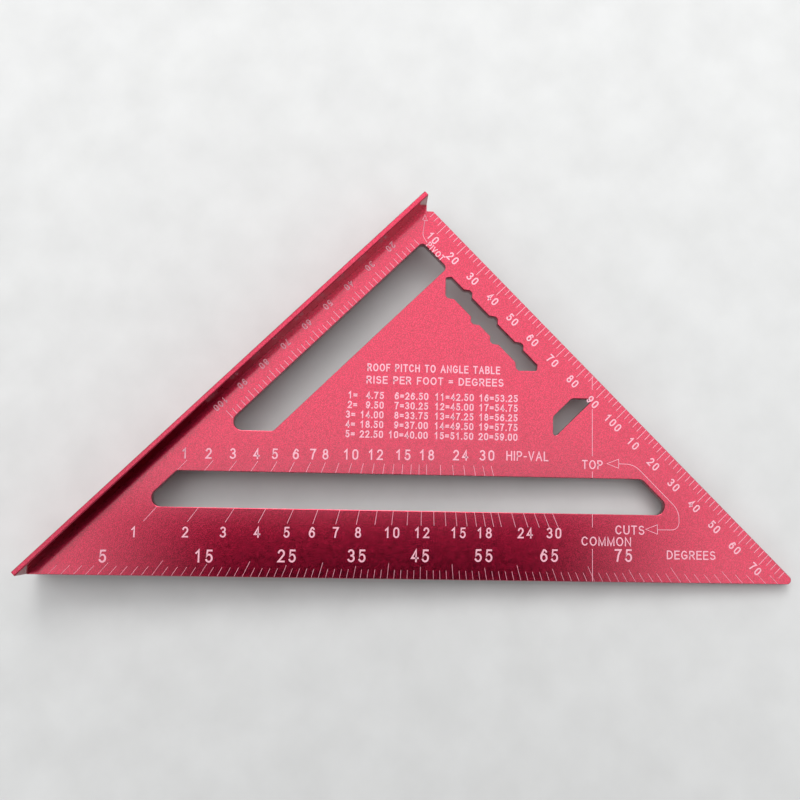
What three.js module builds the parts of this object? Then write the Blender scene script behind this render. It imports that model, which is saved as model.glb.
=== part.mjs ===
// Rafter square (speed square), metric, cut from one T-shaped aluminium section.
// Millimetres, +Z up out of the printed face.
//
// Plan coordinates used below: s runs along the fence, starting at the ruler edge, and
// t runs along the ruler edge, starting at the fence's inner face. The long edge of the
// triangle is the line s + t = LEG.
// Row frame: +X is s, +Y is t, and the origin is at the middle of the fence's outer
// face, level with the middle of the blade's thickness.
import * as THREE from "three";

// Triangle
const LEG = 184.15;              // each leg, from the fence's inner face and the ruler edge (7 1/4 inch)
const BLADE_THICKNESS = 4;
const TIP_RADIUS = 1.5;          // rounding of the free 45 degree tip
const PIVOT = 1.65;              // depth of the pivot notch, measured along s and along t
const PIVOT_RADIUS = 0.25;

// Fence
const FENCE_THICKNESS = 1.8;
const FENCE_RISE = 11;           // fence above the blade's top face, and again below its underside
const FENCE_EDGE_RADIUS = 0.4;
const SEAT_DEPTH = 0.3;          // groove in the fence's inner face that holds the blade's root

// Slots that run beside the fence and beside the long edge
const BAND = 8.7;                // width of metal left between the fence and both long slots
const FENCE_SLOT_WIDTH = 12.5;
const FENCE_SLOT_START = 10.5;   // from the ruler edge
const FENCE_SLOT_TO_LONG_EDGE = 49.25;
const LONG_SLOT_NEAR = 23;       // distances from the long edge, square to it
const LONG_SLOT_FAR = 35.2;
const LONG_SLOT_TO_RULER = 13.4;
const SHARP_CORNER_RADIUS = 3;   // inside the 45 degree corners
const SOFT_CORNER_RADIUS = 1.6;

// Scribing slot beside the ruler edge
const SCRIBE_NEAR = 11.75;       // side nearer the ruler edge
const SCRIBE_FAR = 16.5;
const SCRIBE_NOTCH_DEPTH = 1.3;
const SCRIBE_NEAR_NOTCHES = [33.1, 45.9, 58.7];
const SCRIBE_FAR_NOTCHES = [41.2, 50.8];
const SCRIBE_START = 23.4;
const SCRIBE_END = 68.9;
const SCRIBE_TIP = 13.3;         // s of both pointed ends
const SCRIBE_RADIUS = 0.6;

// Marking window, a slanted hole across the line that is square to the long edge
const WINDOW_NEAR = 84.2;        // t of its short side
const WINDOW_FAR = 89.7;         // t of its long side
const WINDOW_TOP_SUM = 95.4;     // s + t on the side parallel to the long edge
const WINDOW_SHIFT = 63.85;      // t - s on the side square to the long edge
const WINDOW_RADIUS = 0.9;

const STEPS_PER_TURN = 48;

const aluminium = {
  blade: new THREE.MeshStandardMaterial({ color: 0xd8304f, roughness: 0.38, metalness: 0.85 }),
  fence: new THREE.MeshStandardMaterial({ color: 0xc92a48, roughness: 0.38, metalness: 0.85 }),
};

const corner = (s, t, radius = 0) => ({ at: new THREE.Vector2(s, t), radius });

// s + t on a line parallel to the long edge, at a distance square to it
const sumAt = (distance) => LEG - distance * Math.SQRT2;

// Points of a closed outline whose corners are rounded by arcs that meet both sides
function roundedOutline(corners) {
  const points = [];
  corners.forEach(({ at, radius }, i) => {
    if (radius === 0) {
      points.push(at.clone());
      return;
    }
    const before = corners[(i + corners.length - 1) % corners.length].at;
    const after = corners[(i + 1) % corners.length].at;
    const back = before.clone().sub(at).normalize();
    const ahead = after.clone().sub(at).normalize();
    const half = Math.acos(THREE.MathUtils.clamp(back.dot(ahead), -1, 1)) / 2;
    const centre = back.clone().add(ahead).normalize().multiplyScalar(radius / Math.sin(half)).add(at);
    const start = back.clone().multiplyScalar(radius / Math.tan(half)).add(at).sub(centre);
    const turn = Math.PI - 2 * half;
    const sign = Math.sign(ahead.cross(back));
    const steps = Math.max(2, Math.ceil((turn / (2 * Math.PI)) * STEPS_PER_TURN));
    for (let k = 0; k <= steps; k += 1) {
      const spoke = start.clone().rotateAround(new THREE.Vector2(), (sign * turn * k) / steps);
      points.push(spoke.add(centre));
    }
  });
  return points;
}

function bladeOutline() {
  return [
    corner(0, -SEAT_DEPTH),
    corner(LEG, -SEAT_DEPTH),
    corner(LEG, 0),
    corner(0, LEG, TIP_RADIUS),
    corner(0, 2 * PIVOT),
    corner(PIVOT, PIVOT, PIVOT_RADIUS),
    corner(0, 0),
  ];
}

function fenceSlot() {
  const far = BAND + FENCE_SLOT_WIDTH;
  const end = sumAt(FENCE_SLOT_TO_LONG_EDGE);
  return [
    corner(FENCE_SLOT_START, BAND, SOFT_CORNER_RADIUS),
    corner(end - BAND, BAND, SHARP_CORNER_RADIUS),
    corner(end - far, far, SOFT_CORNER_RADIUS),
    corner(FENCE_SLOT_START, far, SOFT_CORNER_RADIUS),
  ];
}

function longSlot() {
  const near = sumAt(LONG_SLOT_NEAR);
  const far = sumAt(LONG_SLOT_FAR);
  return [
    corner(far - BAND, BAND, SOFT_CORNER_RADIUS),
    corner(near - BAND, BAND, SHARP_CORNER_RADIUS),
    corner(LONG_SLOT_TO_RULER, near - LONG_SLOT_TO_RULER, SHARP_CORNER_RADIUS),
    corner(LONG_SLOT_TO_RULER, far - LONG_SLOT_TO_RULER, SHARP_CORNER_RADIUS),
  ];
}

// One scriber notch: a short flat floor with a long and a short flank
function notch(side, floor, t, direction) {
  const flanks = [-2.3, -0.6, 0.6, 1.8];
  const levels = [side, floor, floor, side];
  return flanks.map((flank, i) => corner(levels[i], t + direction * flank, SCRIBE_RADIUS));
}

function scribingSlot() {
  const nearFloor = SCRIBE_NEAR - SCRIBE_NOTCH_DEPTH;
  const farFloor = SCRIBE_FAR + SCRIBE_NOTCH_DEPTH;
  const slant = farFloor - SCRIBE_TIP;
  return [
    corner(SCRIBE_TIP, SCRIBE_START, SCRIBE_RADIUS),
    corner(SCRIBE_NEAR, SCRIBE_START + 1.3, SCRIBE_RADIUS),
    ...SCRIBE_NEAR_NOTCHES.flatMap((t) => notch(SCRIBE_NEAR, nearFloor, t, 1)),
    corner(SCRIBE_NEAR, SCRIBE_END - 1.3, SCRIBE_RADIUS),
    corner(SCRIBE_TIP, SCRIBE_END, SCRIBE_RADIUS),
    corner(farFloor, SCRIBE_END - slant, SCRIBE_RADIUS),
    corner(farFloor, SCRIBE_END - slant - 1.2, SCRIBE_RADIUS),
    corner(SCRIBE_FAR, SCRIBE_END - slant - 3, SCRIBE_RADIUS),
    ...SCRIBE_FAR_NOTCHES.toReversed().flatMap((t) => notch(SCRIBE_FAR, farFloor, t, -1)),
    corner(SCRIBE_FAR, SCRIBE_START + slant + 3, SCRIBE_RADIUS),
    corner(farFloor, SCRIBE_START + slant + 1.2, SCRIBE_RADIUS),
    corner(farFloor, SCRIBE_START + slant, SCRIBE_RADIUS),
  ];
}

function markingWindow() {
  return [
    corner(WINDOW_TOP_SUM - WINDOW_FAR, WINDOW_FAR, WINDOW_RADIUS),
    corner(WINDOW_TOP_SUM - WINDOW_NEAR, WINDOW_NEAR, SOFT_CORNER_RADIUS),
    corner(WINDOW_NEAR - WINDOW_SHIFT, WINDOW_NEAR, SOFT_CORNER_RADIUS),
    corner(WINDOW_FAR - WINDOW_SHIFT, WINDOW_FAR, WINDOW_RADIUS),
  ];
}

function makeBlade() {
  const plate = new THREE.Shape(roundedOutline(bladeOutline()));
  const openings = [fenceSlot(), longSlot(), scribingSlot(), markingWindow()];
  plate.holes = openings.map((corners) => new THREE.Path(roundedOutline(corners)));
  const geometry = new THREE.ExtrudeGeometry(plate, { depth: BLADE_THICKNESS, bevelEnabled: false });
  const blade = new THREE.Mesh(geometry, aluminium.blade);
  blade.name = "blade";
  blade.position.set(-LEG / 2, FENCE_THICKNESS, -BLADE_THICKNESS / 2);
  return blade;
}

// The fence's section is drawn in (y, z) and run along X. The groove splits its inner
// face in two, one above the blade and one below it.
function makeFence() {
  const seat = BLADE_THICKNESS / 2;
  const seatFloor = FENCE_THICKNESS - SEAT_DEPTH;
  const half = seat + FENCE_RISE;
  const section = new THREE.Shape(roundedOutline([
    corner(0, -half, FENCE_EDGE_RADIUS),
    corner(FENCE_THICKNESS, -half, FENCE_EDGE_RADIUS),
    corner(FENCE_THICKNESS, -seat),
    corner(seatFloor, -seat),
    corner(seatFloor, seat),
    corner(FENCE_THICKNESS, seat),
    corner(FENCE_THICKNESS, half, FENCE_EDGE_RADIUS),
    corner(0, half, FENCE_EDGE_RADIUS),
  ]));
  const geometry = new THREE.ExtrudeGeometry(section, { depth: LEG, bevelEnabled: false });
  // Extrusion axis Z goes to X, section x to Y and section y to Z
  geometry.applyMatrix4(new THREE.Matrix4().makeBasis(
    new THREE.Vector3(0, 1, 0),
    new THREE.Vector3(0, 0, 1),
    new THREE.Vector3(1, 0, 0),
  ));
  const fence = new THREE.Mesh(geometry, aluminium.fence);
  fence.name = "fence";
  fence.position.x = -LEG / 2;
  return fence;
}

const square = new THREE.Group();
square.add(makeBlade(), makeFence());

export default square;
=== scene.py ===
"""Looks of a metric speed square: red anodised aluminium with laser-bleached scales.

Everything is in metres in the part's own frame: +X runs along the fence away from the
ruler edge, +Y along the ruler edge away from the fence, +Z out of the marked face.
Marks are laid out in millimetres on the marked face, in plan coordinates: s is the
distance from the ruler edge and t the distance from the fence's inner face.
"""

import math

import bmesh
import bpy
from mathutils import Euler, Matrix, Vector


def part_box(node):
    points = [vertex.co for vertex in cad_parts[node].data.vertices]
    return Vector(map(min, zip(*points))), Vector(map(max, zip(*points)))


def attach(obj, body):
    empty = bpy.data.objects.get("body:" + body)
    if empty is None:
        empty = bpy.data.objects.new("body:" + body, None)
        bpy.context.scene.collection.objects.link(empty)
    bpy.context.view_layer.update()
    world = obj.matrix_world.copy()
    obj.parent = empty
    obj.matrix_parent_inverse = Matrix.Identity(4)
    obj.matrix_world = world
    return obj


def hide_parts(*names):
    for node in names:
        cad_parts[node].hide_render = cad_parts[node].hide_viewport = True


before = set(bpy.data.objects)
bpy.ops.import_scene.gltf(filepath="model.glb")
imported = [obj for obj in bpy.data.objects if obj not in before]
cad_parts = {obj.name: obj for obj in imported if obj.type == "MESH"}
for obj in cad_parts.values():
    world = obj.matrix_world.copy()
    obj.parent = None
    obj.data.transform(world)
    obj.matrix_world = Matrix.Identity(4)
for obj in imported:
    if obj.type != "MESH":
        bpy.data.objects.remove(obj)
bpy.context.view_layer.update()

MM = 0.001
BLADE_LOW, BLADE_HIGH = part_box("blade")
FENCE_LOW, FENCE_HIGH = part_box("fence")
LEG = (FENCE_HIGH.x - FENCE_LOW.x) / MM
FACE = BLADE_HIGH.z
EDGE_BREAK = 0.18                # radius of the blade's broken edges

# Places in the part that the marks follow, in plan millimetres
PIVOT = 1.65                     # s and t of the pivot notch's bottom
FENCE_SLOT_NEAR = 8.7            # t of the fence slot's side beside the fence
LONG_SLOT_NEAR = 23.0            # sides of the long slot, measured from the long edge
LONG_SLOT_FAR = 35.2

# Camera, at the height of a hand-held phone over the blade
CAMERA_PLACE = Vector((-0.0035, 0.0666, 0.3374))
CAMERA_TURN = (6.17, -3.29, 135.98)
CAMERA_LENS = 44.2
CAMERA_SHIFT = (-0.0357, 0.0096)

# The square lies on the fence's lower edge and on the free tip of the blade
FLOOR_SIZE = 6.0
FLOOR_GAP = 0.0001


# ---------------------------------------------------------------- plan layout

class Layout:
    """A line on the face to lay marks along: a runs along it, b square to it, to the left."""

    def __init__(self, s, t, degrees):
        self.origin = Vector((s, t))
        self.along = Vector((math.cos(math.radians(degrees)), math.sin(math.radians(degrees))))
        self.across = Vector((-self.along.y, self.along.x))

    def at(self, a, b):
        return self.origin + self.along * a + self.across * b


RULER_EDGE = Layout(0, 0, 90)             # a is t, b is -s
FENCE_LINE = Layout(0, 0, 0)              # a is s, b is t
LONG_EDGE = Layout(LEG / 2, LEG / 2, 135) # a is 0 at the middle, b is the distance inwards


def polar(degrees):
    """Direction in the plan, measured at the pivot from the fence."""
    return Vector((math.cos(math.radians(degrees)), math.sin(math.radians(degrees))))


def from_pivot(degrees, distance_from_long_edge):
    """Where a line from the pivot, at an angle to the fence, crosses a line beside the long edge."""
    pivot = Vector((PIVOT, PIVOT))
    ray = polar(degrees)
    total = LEG - distance_from_long_edge * math.sqrt(2)
    return pivot + ray * (total - pivot.x - pivot.y) / (ray.x + ray.y)


# ---------------------------------------------------------------- lettering
# Glyphs are strokes in a box 1 high. A stroke is a list of points and arcs:
# (x, y) or (centre x, centre y, radius x, radius y, first angle, last angle).

def loop(x, y, rx, ry):
    return [(x, y, rx, ry, 90, 450)]


GLYPHS = {
    "0": (0.50, [[(0.25, 0.70, 0.25, 0.30, 0, 180), (0.25, 0.30, 0.25, 0.30, 180, 360),
                  (0.50, 0.70)]]),
    "1": (0.50, [[(0.08, 0.76), (0.30, 1), (0.30, 0)]]),
    "2": (0.50, [[(0.25, 0.72, 0.24, 0.28, 165, -35), (0, 0), (0.50, 0)]]),
    "3": (0.50, [[(0.24, 0.76, 0.22, 0.24, 150, -80)], [(0.24, 0.26, 0.26, 0.26, 85, -150)]]),
    "4": (0.50, [[(0.38, 0), (0.38, 1), (0, 0.28), (0.54, 0.28)]]),
    "5": (0.50, [[(0.46, 1), (0.10, 1), (0.04, 0.50), (0.24, 0.32, 0.26, 0.32, 125, -150)]]),
    "6": (0.50, [loop(0.25, 0.31, 0.25, 0.31),
                 [(0.27, 0.70, 0.22, 0.30, 30, 100), (0, 0.52), (0, 0.31)]]),
    "7": (0.50, [[(0, 1), (0.50, 1), (0.28, 0.55), (0.18, 0)]]),
    "8": (0.50, [loop(0.25, 0.76, 0.20, 0.24), loop(0.25, 0.27, 0.25, 0.27)]),
    "9": (0.50, [loop(0.25, 0.69, 0.25, 0.31),
                 [(0.23, 0.30, 0.22, 0.30, 210, 280), (0.50, 0.48), (0.50, 0.69)]]),
    "A": (0.68, [[(0, 0), (0.34, 1), (0.68, 0)], [(0.12, 0.36), (0.56, 0.36)]]),
    "B": (0.56, [[(0, 0), (0, 1), (0.30, 0.76, 0.22, 0.24, 90, -90), (0, 0.52)],
                 [(0, 0.52), (0.30, 0.26, 0.26, 0.26, 90, -90), (0, 0)]]),
    "C": (0.64, [[(0.33, 0.5, 0.33, 0.5, 40, 320)]]),
    "D": (0.62, [[(0, 0), (0, 1), (0.22, 1), (0.22, 0.5, 0.40, 0.5, 80, -80), (0.22, 0), (0, 0)]]),
    "E": (0.52, [[(0.52, 1), (0, 1), (0, 0), (0.54, 0)], [(0, 0.53), (0.48, 0.53)]]),
    "F": (0.48, [[(0.50, 1), (0, 1), (0, 0)], [(0, 0.50), (0.42, 0.50)]]),
    "G": (0.68, [[(0.34, 0.5, 0.34, 0.5, 45, 315), (0.66, 0.20), (0.66, 0.46), (0.38, 0.46)]]),
    "H": (0.60, [[(0, 0), (0, 1)], [(0.60, 0), (0.60, 1)], [(0, 0.53), (0.60, 0.53)]]),
    "I": (0.04, [[(0.02, 0), (0.02, 1)]]),
    "L": (0.46, [[(0, 1), (0, 0), (0.46, 0)]]),
    "M": (0.72, [[(0, 0), (0, 1), (0.36, 0), (0.72, 1), (0.72, 0)]]),
    "N": (0.60, [[(0, 0), (0, 1), (0.60, 0), (0.60, 1)]]),
    "O": (0.70, [loop(0.35, 0.5, 0.35, 0.5)]),
    "P": (0.54, [[(0, 0), (0, 1), (0.28, 0.73, 0.26, 0.27, 90, -90), (0, 0.46)]]),
    "R": (0.58, [[(0, 0), (0, 1), (0.30, 0.74, 0.26, 0.26, 90, -90), (0, 0.48)],
                 [(0.30, 0.48), (0.58, 0)]]),
    "S": (0.56, [[(0.28, 0.75, 0.25, 0.25, 35, 235), (0.28, 0.26, 0.28, 0.26, 60, -155)]]),
    "T": (0.56, [[(0, 1), (0.56, 1)], [(0.28, 1), (0.28, 0)]]),
    "U": (0.60, [[(0, 1), (0.30, 0.30, 0.30, 0.30, 180, 360), (0.60, 1)]]),
    "V": (0.62, [[(0, 1), (0.31, 0), (0.62, 1)]]),
    "=": (0.44, [[(0, 0.62), (0.44, 0.62)], [(0, 0.34), (0.44, 0.34)]]),
    "-": (0.26, [[(0, 0.42), (0.26, 0.42)]]),
    ".": (0.02, [[(0.01, 0), (0.01, 0.03)]]),
    " ": (0.22, []),
}
ARC_STEP = 15                    # degrees between points of an arc
GLYPH_GAP = 0.20                 # clear space between glyphs, of their height
NUMERAL_GAP = 0.32               # and between the figures of the scales' numbers


def arc(x, y, rx, ry, first, last):
    """Points of an elliptic arc, in the plan or in a glyph's box."""
    steps = max(2, round(abs(last - first) / ARC_STEP))
    angles = [math.radians(first + (last - first) * k / steps) for k in range(steps + 1)]
    return [Vector((x + rx * math.cos(angle), y + ry * math.sin(angle))) for angle in angles]


def stroke_points(stroke):
    points = []
    for item in stroke:
        if len(item) == 2:
            points.append(Vector(item))
            continue
        points.extend(arc(*item))
    return points


def rounded(points, radius):
    """A polyline whose inner corners are replaced by curves that start one radius away."""
    corners = [Vector(point) for point in points]
    path = [corners[0]]
    for before, at, after in zip(corners, corners[1:], corners[2:]):
        start = at + (before - at).normalized() * radius
        end = at + (after - at).normalized() * radius
        steps = [k / 6 for k in range(7)]
        path += [start * (1 - k) ** 2 + at * 2 * k * (1 - k) + end * k ** 2 for k in steps]
    return [*path, corners[-1]]


# ---------------------------------------------------------------- marks

# Widths of the marked lines, in millimetres
RULER_LINE = 0.16
SLOT_LINE = 0.18
DEGREE_LINE = 0.10
RAFTER_LINE = 0.13
POINTER_LINE = 0.17

MARK_PROUD = 0.015 * MM          # marks stand this much over the face
MARK_STEP = 0.004 * MM           # and each this much over the one before, so that none share a level
MARK_LEVELS = 4
MARK_SUNK = 0.05 * MM


class Marks:
    """Collects ribbons for one printed group and makes them one mesh of thin closed solids."""

    def __init__(self, name):
        self.name = name
        self.mesh = bmesh.new()
        self.ribbons = 0

    def ribbon(self, points, width, square_ends=False):
        """A flat line of constant width through points in the plan, mitred at its corners."""
        points = [p for i, p in enumerate(points) if i == 0 or (p - points[i - 1]).length > 1e-5]
        closed = len(points) > 3 and (points[0] - points[-1]).length < 1e-4
        if closed:
            points = points[:-1]
        elif square_ends:
            first = (points[0] - points[1]).normalized() * width / 2
            last = (points[-1] - points[-2]).normalized() * width / 2
            points = [points[0] + first, *points[1:-1], points[-1] + last]
        count = len(points)
        top = MARK_PROUD + MARK_STEP * (self.ribbons % MARK_LEVELS)
        self.ribbons += 1
        rows = []
        for i, point in enumerate(points):
            before = points[i - 1] if closed or i > 0 else point
            after = points[(i + 1) % count] if closed or i < count - 1 else point
            normals = [Vector((-(q - p).y, (q - p).x)).normalized()
                       for p, q in ((before, point), (point, after)) if (q - p).length > 0]
            mitre = sum(normals, Vector((0, 0))).normalized()
            reach = width / 2 / max(0.45, mitre.dot(normals[0]))
            rows.append([self.vertex(point + mitre * side * reach, z)
                         for side, z in ((1, top), (-1, top), (-1, -MARK_SUNK), (1, -MARK_SUNK))])
        pairs = list(zip(rows, rows[1:])) + ([(rows[-1], rows[0])] if closed else [])
        for here, there in pairs:
            for k in range(4):
                m = (k + 1) % 4
                self.mesh.faces.new((here[k], here[m], there[m], there[k]))
        if not closed:
            self.mesh.faces.new(reversed(rows[0]))
            self.mesh.faces.new(rows[-1])

    def vertex(self, plan, lift):
        return self.mesh.verts.new((FENCE_LOW.x + plan.x * MM, FENCE_HIGH.y + plan.y * MM, FACE + lift))

    def line(self, layout, start, end, width):
        self.ribbon([layout.at(*start), layout.at(*end)], width)

    def outline(self, layout, corners, width):
        places = [layout.at(*corner) for corner in corners]
        self.ribbon([*places, places[0]], width)

    def text(self, layout, words, place, base, height, weight, align=0.5, width=None, gap=GLYPH_GAP):
        """Words standing on base, in strokes of that weight; align is the share left of place.

        A width, where it is given, squeezes or stretches them to fit it.
        """
        tall = height - weight
        shapes = [GLYPHS[letter] for letter in words]
        spaces = len(words) - 1
        squeeze = 1.0
        if width is not None:
            drawn = sum(wide for wide, _ in shapes) + gap * spaces
            squeeze = (width - weight * (spaces + 1)) / tall / drawn
        total = tall * squeeze * (sum(wide for wide, _ in shapes) + gap * spaces) + weight * spaces
        a = place - total * align
        for wide, strokes in shapes:
            for stroke in strokes:
                points = [layout.at(a + p.x * tall * squeeze, base + weight / 2 + p.y * tall)
                          for p in stroke_points(stroke)]
                self.ribbon(points, weight, square_ends=True)
            a += (wide + gap) * tall * squeeze + weight

    def finish(self, material):
        bmesh.ops.recalc_face_normals(self.mesh, faces=self.mesh.faces)
        data = bpy.data.meshes.new(self.name)
        self.mesh.to_mesh(data)
        self.mesh.free()
        piece = bpy.data.objects.new(self.name, data)
        bpy.context.scene.collection.objects.link(piece)
        data.materials.append(material)
        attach(piece, "root")


# ---------------------------------------------------------------- materials

def new_material(name):
    material = bpy.data.materials.new(name)
    material.use_nodes = True
    nodes = material.node_tree.nodes
    nodes.clear()
    output = nodes.new("ShaderNodeOutputMaterial")
    shader = nodes.new("ShaderNodeBsdfPrincipled")
    material.node_tree.links.new(shader.outputs["BSDF"], output.inputs["Surface"])
    return material, material.node_tree, shader


def noise(tree, scale, detail=2.0, roughness=0.5):
    """Noise over the part, in its own coordinates: scale is in features per metre."""
    place = tree.nodes.new("ShaderNodeTexCoord")
    texture = tree.nodes.new("ShaderNodeTexNoise")
    texture.inputs["Scale"].default_value = scale
    texture.inputs["Detail"].default_value = detail
    texture.inputs["Roughness"].default_value = roughness
    tree.links.new(place.outputs["Object"], texture.inputs["Vector"])
    return texture.outputs["Fac"]


def ramp(tree, value, *stops):
    """Colours by value: each stop is (position, (r, g, b))."""
    node = tree.nodes.new("ShaderNodeValToRGB")
    elements = node.color_ramp.elements
    while len(elements) < len(stops):
        elements.new(1.0)
    for element, (position, colour) in zip(elements, stops):
        element.position = position
        element.color = (*colour, 1.0)
    tree.links.new(value, node.inputs["Fac"])
    return node.outputs["Color"]


def spread(tree, value, low, high):
    """Moves a noise value, which stays near 0.5, onto low to high."""
    node = tree.nodes.new("ShaderNodeMapRange")
    node.inputs["From Min"].default_value = 0.3
    node.inputs["From Max"].default_value = 0.7
    node.inputs["To Min"].default_value = low
    node.inputs["To Max"].default_value = high
    tree.links.new(value, node.inputs["Value"])
    return node.outputs["Result"]


def bump(tree, height, strength, distance):
    node = tree.nodes.new("ShaderNodeBump")
    node.inputs["Strength"].default_value = strength
    node.inputs["Distance"].default_value = distance
    tree.links.new(height, node.inputs["Height"])
    return node.outputs["Normal"]


def anodised(name, smoothest, roughest, coat, glancing):
    """Bead-blasted aluminium under a dyed oxide layer: satin, with a fine sparkle.

    Glancing is the tint of what the metal reflects at a low angle.
    """
    material, tree, shader = new_material(name)
    grain = noise(tree, 2600, 1.0)
    mottle = noise(tree, 500, 3.0)
    dark, middle, light = (0.27, 0.005, 0.023), (0.36, 0.008, 0.037), (0.47, 0.016, 0.058)
    tone = ramp(tree, grain, (0.34, dark), (0.50, middle), (0.66, light))
    tree.links.new(tone, shader.inputs["Base Color"])
    tree.links.new(spread(tree, mottle, smoothest, roughest), shader.inputs["Roughness"])
    tree.links.new(bump(tree, grain, 0.45, 0.00004), shader.inputs["Normal"])
    shader.inputs["Metallic"].default_value = 1.0
    shader.inputs["Specular Tint"].default_value = (*glancing, 1)
    shader.inputs["Coat Weight"].default_value = coat
    shader.inputs["Coat Roughness"].default_value = 0.10
    shader.inputs["Coat IOR"].default_value = 1.49
    return material


def bleached():
    """Laser-bleached oxide: pale, pinkish and matt, with a little of the metal's shine."""
    material, tree, shader = new_material("laser_marks")
    grain = noise(tree, 4200, 1.0)
    tone = ramp(tree, grain, (0.30, (0.62, 0.30, 0.36)), (0.70, (0.72, 0.40, 0.46)))
    tree.links.new(tone, shader.inputs["Base Color"])
    tree.links.new(spread(tree, grain, 0.40, 0.60), shader.inputs["Roughness"])
    shader.inputs["Metallic"].default_value = 0.25
    return material


def floor_paper():
    material, tree, shader = new_material("floor_paper")
    fibre = noise(tree, 60, 4.0)
    tone = ramp(tree, fibre, (0.30, (0.50, 0.495, 0.485)), (0.70, (0.54, 0.535, 0.525)))
    tree.links.new(tone, shader.inputs["Base Color"])
    shader.inputs["Roughness"].default_value = 0.9
    return material


# ---------------------------------------------------------------- the square

def rims(node, height):
    """The closed outlines of a CAD solid's flat face at that height, as lists of plan points."""
    solid = bmesh.new()
    solid.from_mesh(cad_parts[node].data)
    bmesh.ops.remove_doubles(solid, verts=solid.verts, dist=0.001 * MM)
    ahead = {}
    for edge in solid.edges:
        level = all(abs(vertex.co.z - height) < 0.01 * MM for vertex in edge.verts)
        if level and edge.calc_face_angle(0) > math.radians(45):
            for here, there in (edge.verts, reversed(edge.verts)):
                ahead.setdefault(here, []).append(there)
    outlines = []
    while ahead:
        here = next(iter(ahead))
        outline = []
        while here in ahead:
            outline.append(here.co.xy.copy())
            following = [vertex for vertex in ahead.pop(here) if vertex in ahead]
            here = following[0] if following else None
        outlines.append(outline)
    solid.free()
    return outlines


def make_blade():
    """The CAD blade again, with broken edges and faces that are truly flat between them."""
    edge = EDGE_BREAK * MM
    curve = bpy.data.curves.new("blade_outline", "CURVE")
    curve.dimensions = "2D"
    curve.fill_mode = "BOTH"
    curve.extrude = (BLADE_HIGH.z - BLADE_LOW.z) / 2 - edge
    curve.bevel_depth = edge
    curve.bevel_resolution = 1
    curve.offset = -edge
    for outline in rims("blade", FACE):
        spline = curve.splines.new("POLY")
        spline.points.add(len(outline) - 1)
        for point, place in zip(spline.points, outline):
            point.co = (place.x, place.y, 0, 1)
        spline.use_cyclic_u = True
    pattern = bpy.data.objects.new("blade_outline", curve)
    data = bpy.data.meshes.new_from_object(pattern)
    bpy.data.objects.remove(pattern)
    solid = bmesh.new()
    solid.from_mesh(data)
    bmesh.ops.remove_doubles(solid, verts=solid.verts, dist=0.002 * MM)
    bmesh.ops.recalc_face_normals(solid, faces=solid.faces)
    for face in solid.faces:
        face.smooth = abs(face.normal.z) < 0.999
    for joint in solid.edges:
        joint.smooth = joint.calc_face_angle(0) < math.radians(30)
    solid.to_mesh(data)
    solid.free()
    blade = bpy.data.objects.new("blade_metal", data)
    blade.location.z = (BLADE_LOW.z + BLADE_HIGH.z) / 2
    bpy.context.scene.collection.objects.link(blade)
    data.materials.clear()
    data.materials.append(anodised("anodised_blade", 0.20, 0.27, 1.0, (0.60, 0.40, 0.45)))
    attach(blade, "root")
    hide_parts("blade")


def dress_fence():
    """Gives the CAD fence its finish and breaks its sharp ends."""
    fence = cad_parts["fence"]
    fence.data.materials.clear()
    fence.data.materials.append(anodised("anodised_fence", 0.26, 0.34, 0.70, (0.42, 0.10, 0.15)))
    weld = fence.modifiers.new("weld", "WELD")
    weld.merge_threshold = 0.001 * MM
    bevel = fence.modifiers.new("broken_edges", "BEVEL")
    bevel.width = 0.15 * MM
    bevel.segments = 3
    bevel.limit_method = "ANGLE"
    bevel.angle_limit = math.radians(40)
    bevel.use_clamp_overlap = False
    bevel.harden_normals = True


def ruler_scale(material):
    """Millimetres along the ruler edge, a tick every 2 mm, numbered past 100 from 10 again."""
    marks = Marks("ruler_scale")
    for t in range(4, 180, 2):
        whole_ten = t % 10 == 0
        reach = 4.8 if whole_ten else 2.4 + 0.8 * t / LEG
        marks.line(RULER_EDGE, (t, -EDGE_BREAK), (t, -reach), RULER_LINE)
        if whole_ten:
            label = t if t <= 100 else t - 100
            marks.text(RULER_EDGE, str(label), t + 0.1, -8.2, 2.9, 0.46, gap=NUMERAL_GAP)
    marks.finish(material)


def slot_scale(material):
    """Millimetres along the fence slot, ticks pointing at the fence."""
    marks = Marks("slot_scale")
    for s in range(12, 102, 2):
        whole_ten = s % 10 == 0
        start = FENCE_SLOT_NEAR - EDGE_BREAK
        marks.line(FENCE_LINE, (s, start), (s, 5.2 if whole_ten else 6.1), SLOT_LINE)
        if whole_ten:
            marks.text(FENCE_LINE, str(s), s - 0.2, 1.1, 2.3, 0.34, gap=NUMERAL_GAP)
    marks.finish(material)


def degree_scale(material):
    """Degrees along the long edge, every line pointing at the pivot."""
    marks = Marks("degree_scale")
    for degrees in range(1, 90):
        inner = 5.2 if degrees % 10 == 0 else 4.2 if degrees % 5 == 0 else 3.1
        marks.ribbon([from_pivot(degrees, EDGE_BREAK), from_pivot(degrees, inner)], DEGREE_LINE)
    for degrees, centre in zip(range(5, 80, 10), (-105.8, -72.6, -45, -21.6, -0.2, 21.4, 43.9, 69.5)):
        marks.text(LONG_EDGE, str(degrees), centre, 5.8 + 0.016 * centre, 4.3, 0.58, gap=NUMERAL_GAP)
    marks.text(LONG_EDGE, "DEGREES", 93.1, 8.0, 3.0, 0.40, width=17.0)
    marks.finish(material)


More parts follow.
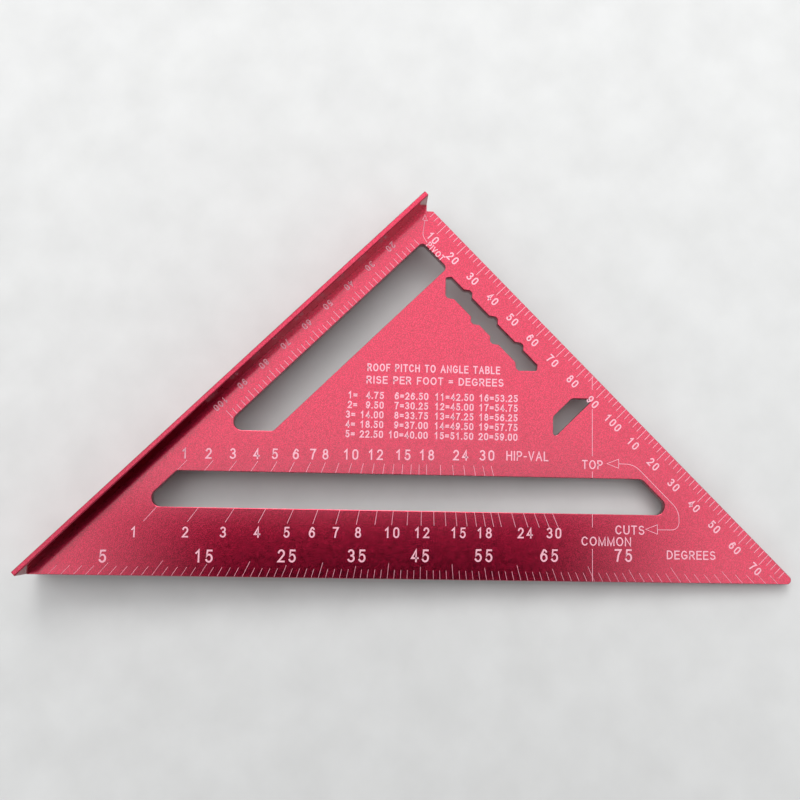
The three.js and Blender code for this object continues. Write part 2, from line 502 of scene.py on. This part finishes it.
def rafter_scale(name, rises, run, edge, reach, labels, material, words):
    """Rise per foot of run, as angles from the pivot, beside one side of the long slot."""
    marks = Marks(name)
    start = edge + math.copysign(EDGE_BREAK, reach)
    for rise in rises:
        degrees = math.degrees(math.atan2(rise, run))
        ends = [from_pivot(degrees, start), from_pivot(degrees, edge + reach)]
        marks.ribbon(ends, RAFTER_LINE)
    for rise, centre, base in labels:
        marks.text(LONG_EDGE, str(rise), centre, base, 3.6, 0.50, gap=NUMERAL_GAP)
    for text, centre, base, height, width in words:
        marks.text(LONG_EDGE, text, centre, base, height, 0.41, width=width)
    marks.finish(material)


COMMON_RISES = [*range(1, 21), 22, 24, 26, 28, 30]
HIP_RISES = [*range(1, 19), 20, 22, 24, 26, 28, 30]
COMMON_RUN = 12.0
HIP_RUN = 17.4


def common_scale(material):
    places = {1: -96, 2: -79, 3: -66.5, 4: -55.2, 5: -45.3, 6: -36.8, 7: -28.8, 8: -21.3,
              10: -9.9, 12: 0.3, 15: 12.7, 18: 21.6, 24: 35.6, 30: 45.5}
    labels = [(rise, at, 13.9 + 0.013 * at) for rise, at in places.items()]
    words = [("CUTS", 71.8, 16.2, 3.1, 10.1), ("COMMON", 63.6, 12.2, 3.1, 17.2)]
    rafter_scale("common_scale", COMMON_RISES, COMMON_RUN, LONG_SLOT_NEAR, -4.9,
                 labels, material, words)


def hip_scale(material):
    places = {1: -80.3, 2: -72.3, 3: -64.2, 4: -56.3, 5: -50.1, 6: -43, 7: -37.2, 8: -33,
              10: -24.4, 12: -16, 15: -6.6, 18: 1.5, 24: 13.1, 30: 22.2}
    labels = [(rise, at, 40.3 + 0.013 * at) for rise, at in places.items()]
    words = [("HIP-VAL", 36.2, 40.8, 3.3, 14.6), ("TOP", 58.8, 38.4, 3.1, 7.2)]
    rafter_scale("hip_scale", HIP_RISES, HIP_RUN, LONG_SLOT_FAR, 3.6,
                 labels, material, words)


TABLE_ROWS = 5
ROUNDED_UP = (9, 10, 15)         # rises whose angle the table gives a quarter degree higher


def pitch_table(material):
    """Angle for each whole rise per foot, to a quarter degree, in four right-aligned columns."""
    marks = Marks("pitch_table")
    marks.text(LONG_EDGE, "ROOF PITCH TO ANGLE TABLE", 3.5, 70.6, 2.7, 0.42, width=46.0)
    marks.text(LONG_EDGE, "RISE PER FOOT = DEGREES", 4.0, 66.3, 2.7, 0.42, width=47.4)
    for column, right_side in enumerate((-13.8, 1.5, 17.2, 32.5)):
        for row in range(TABLE_ROWS):
            rise = TABLE_ROWS * column + row + 1
            quarters = round(math.degrees(math.atan2(rise, COMMON_RUN)) * 4) + (rise in ROUNDED_UP)
            text = f"{rise}={quarters / 4:{6 if column == 0 else 5}.2f}"
            marks.text(LONG_EDGE, text, right_side, 61.0 - 3.35 * row, 2.5, 0.42, align=1)
    marks.finish(material)


SQUARE_LINE = 58.8               # where the line square to the long edge meets it


def pointers(material):
    """The square-cut line, the pivot arrow and the arrow that links the rafter scales."""
    marks = Marks("pointers")
    # Stretches of the square line, as distances from the long edge
    stretches = ((71.0, 65.8), (59.4, 42.7), (37.7, LONG_SLOT_FAR), (LONG_SLOT_NEAR, 18.3), (11.3, 0))
    for start, end in stretches:
        upper, lower = (SQUARE_LINE, start - EDGE_BREAK), (SQUARE_LINE, end + EDGE_BREAK)
        marks.line(LONG_EDGE, upper, lower, POINTER_LINE)
    marks.text(RULER_EDGE, "PIVOT", 14.2, -10.55, 2.2, 0.34)
    marks.outline(FENCE_LINE, [(3.0, 2.3), (4.9, 2.9), (3.9, 4.3)], POINTER_LINE)
    tail = rounded([(4.4, 3.6), (8.8, 7.0), (9.4, 9.8)], 1.2)
    marks.ribbon([FENCE_LINE.at(*point) for point in tail], POINTER_LINE)
    marks.outline(LONG_EDGE, [(63.9, 40.4), (68.0, 42.0), (68.0, 38.9)], POINTER_LINE)
    marks.outline(LONG_EDGE, [(77.3, 18.1), (81.4, 19.7), (81.4, 16.5)], POINTER_LINE)
    link = rounded([(68.0, 40.4), (73.3, 40.4), (89.0, 24.7), (89.0, 18.0), (81.4, 18.0)], 3.0)
    marks.ribbon([LONG_EDGE.at(*point) for point in link], POINTER_LINE)
    marks.finish(material)


# ---------------------------------------------------------------- stage

LIGHT_SIDE = (-0.69, -0.72)      # plan direction that the light comes from

# The dark card, in metres
FLAG_REACH = (0.258, 0.188)      # half width and half length of the card beside the lens
FLAG_FULL = (0.40, 0.78)         # parts of them within which it is fully dark
FLAG_PLACE = (0.004, 0.159)      # its middle, sideways and away from the light, from the lens
FLAG_RISE = 0.02                 # its height over the lens

KEY_PLACE = (-0.74, -0.72, 1.05)
KEY_TARGET = (0, 0.06, 0)
KEY_SIZE = (0.60, 0.60)
KEY_RADIANCE = 6.0

BACKDROP = (0.80, 0.80, 0.80, 1) # what the camera sees behind the floor
CEILING = 2.30                   # brightness of the ceiling
ROOM = 0.80                      # and of the rest of the room
CEILING_LEAN = 20                # degrees that the ceiling's middle leans to the light side
CEILING_FULL = 24                # degrees from its middle where it starts to fade
CEILING_END = 62                 # and where it has faded into the room


def add_floor():
    """A plain pale sheet that touches the fence's lower edge and the blade's free tip."""
    slope = math.atan2(BLADE_LOW.z - FENCE_LOW.z, BLADE_HIGH.y - FENCE_HIGH.y)
    bpy.ops.mesh.primitive_grid_add(x_subdivisions=8, y_subdivisions=8, size=FLOOR_SIZE)
    floor = bpy.context.object
    floor.name = "floor"
    floor.rotation_euler = (slope, 0, 0)
    floor.location = (0, FENCE_HIGH.y, FENCE_LOW.z - FLOOR_GAP)
    floor.data.materials.append(floor_paper())


def add_camera():
    data = bpy.data.cameras.new("camera")
    data.lens = CAMERA_LENS
    data.shift_x, data.shift_y = CAMERA_SHIFT
    data.clip_start = 0.01
    camera = bpy.data.objects.new("camera", data)
    camera.location = CAMERA_PLACE
    camera.rotation_euler = Euler([math.radians(angle) for angle in CAMERA_TURN], "XYZ")
    bpy.context.scene.collection.objects.link(camera)
    bpy.context.scene.camera = camera


def add_softbox(name, place, target, size, radiance):
    """A soft rectangular lamp; radiance is how bright its face looks."""
    data = bpy.data.lights.new(name, "AREA")
    data.shape = "RECTANGLE"
    data.size, data.size_y = size
    data.energy = radiance * math.pi * size[0] * size[1]
    lamp = bpy.data.objects.new(name, data)
    lamp.location = place
    lamp.rotation_euler = (Vector(target) - Vector(place)).to_track_quat("-Z", "Y").to_euler()
    lamp.visible_camera = False
    bpy.context.scene.collection.objects.link(lamp)


def add_world():
    """A dim room under a bright ceiling, behind a plain pale backdrop that only the camera sees."""
    world = bpy.data.worlds.new("studio")
    world.use_nodes = True
    tree = world.node_tree
    room = tree.nodes["Background"]
    room.inputs["Color"].default_value = (0.96, 0.98, 1.0, 1)
    place = tree.nodes.new("ShaderNodeTexCoord")
    along = tree.nodes.new("ShaderNodeVectorMath")
    along.operation = "DOT_PRODUCT"
    lean = math.radians(CEILING_LEAN)
    along.inputs[1].default_value = (*(part * math.sin(lean) for part in LIGHT_SIDE), math.cos(lean))
    tree.links.new(place.outputs["Generated"], along.inputs[0])
    level = tree.nodes.new("ShaderNodeMapRange")
    level.interpolation_type = "SMOOTHSTEP"
    level.inputs["From Min"].default_value = math.cos(math.radians(CEILING_END))
    level.inputs["From Max"].default_value = math.cos(math.radians(CEILING_FULL))
    level.inputs["To Min"].default_value = ROOM
    level.inputs["To Max"].default_value = CEILING
    tree.links.new(along.outputs["Value"], level.inputs["Value"])
    tree.links.new(level.outputs["Result"], room.inputs["Strength"])
    backdrop = tree.nodes.new("ShaderNodeBackground")
    backdrop.inputs["Color"].default_value = BACKDROP
    eye = tree.nodes.new("ShaderNodeLightPath")
    choose = tree.nodes.new("ShaderNodeMixShader")
    tree.links.new(eye.outputs["Is Camera Ray"], choose.inputs["Fac"])
    tree.links.new(room.outputs["Background"], choose.inputs[1])
    tree.links.new(backdrop.outputs["Background"], choose.inputs[2])
    tree.links.new(choose.outputs["Shader"], tree.nodes["World Output"].inputs["Surface"])
    bpy.context.scene.world = world


def add_flag():
    """A dark card with soft edges beside the lens, for the dark reflection near the long edge."""
    material = bpy.data.materials.new("flag_black")
    material.use_nodes = True
    tree = material.node_tree
    tree.nodes.clear()
    place = tree.nodes.new("ShaderNodeTexCoord")
    parts = tree.nodes.new("ShaderNodeSeparateXYZ")
    tree.links.new(place.outputs["Object"], parts.inputs["Vector"])
    cover = tree.nodes.new("ShaderNodeMath")
    cover.operation = "MULTIPLY"
    for port, (axis, full) in enumerate(zip("XY", FLAG_FULL)):
        reach = tree.nodes.new("ShaderNodeMath")
        reach.operation = "ABSOLUTE"
        tree.links.new(parts.outputs[axis], reach.inputs[0])
        fade = tree.nodes.new("ShaderNodeMapRange")
        fade.interpolation_type = "SMOOTHSTEP"
        fade.inputs["From Min"].default_value = 1.0
        fade.inputs["From Max"].default_value = full
        tree.links.new(reach.outputs["Value"], fade.inputs["Value"])
        tree.links.new(fade.outputs["Result"], cover.inputs[port])
    clear = tree.nodes.new("ShaderNodeBsdfTransparent")
    black = tree.nodes.new("ShaderNodeBsdfDiffuse")
    black.inputs["Color"].default_value = (0.005, 0.005, 0.005, 1)
    blend = tree.nodes.new("ShaderNodeMixShader")
    tree.links.new(cover.outputs["Value"], blend.inputs["Fac"])
    tree.links.new(clear.outputs["BSDF"], blend.inputs[1])
    tree.links.new(black.outputs["BSDF"], blend.inputs[2])
    output = tree.nodes.new("ShaderNodeOutputMaterial")
    tree.links.new(blend.outputs["Shader"], output.inputs["Surface"])
    bpy.ops.mesh.primitive_plane_add(size=2)
    flag = bpy.context.object
    flag.name = "flag"
    away = -Vector(LIGHT_SIDE).normalized()
    side = Vector((-away.y, away.x))
    spot = CAMERA_PLACE.xy + side * FLAG_PLACE[0] + away * FLAG_PLACE[1]
    flag.location = (spot.x, spot.y, CAMERA_PLACE.z + FLAG_RISE)
    flag.rotation_euler.z = math.atan2(side.y, side.x)
    flag.scale = (*FLAG_REACH, 1)
    flag.data.materials.append(material)
    flag.visible_camera = False


add_camera()
make_blade()
dress_fence()
mark_material = bleached()
for make in (ruler_scale, slot_scale, degree_scale, common_scale, hip_scale, pitch_table, pointers):
    make(mark_material)
add_floor()
add_world()
add_flag()
add_softbox("key", KEY_PLACE, KEY_TARGET, KEY_SIZE, KEY_RADIANCE)
bpy.context.scene.view_settings.view_transform = "Standard"
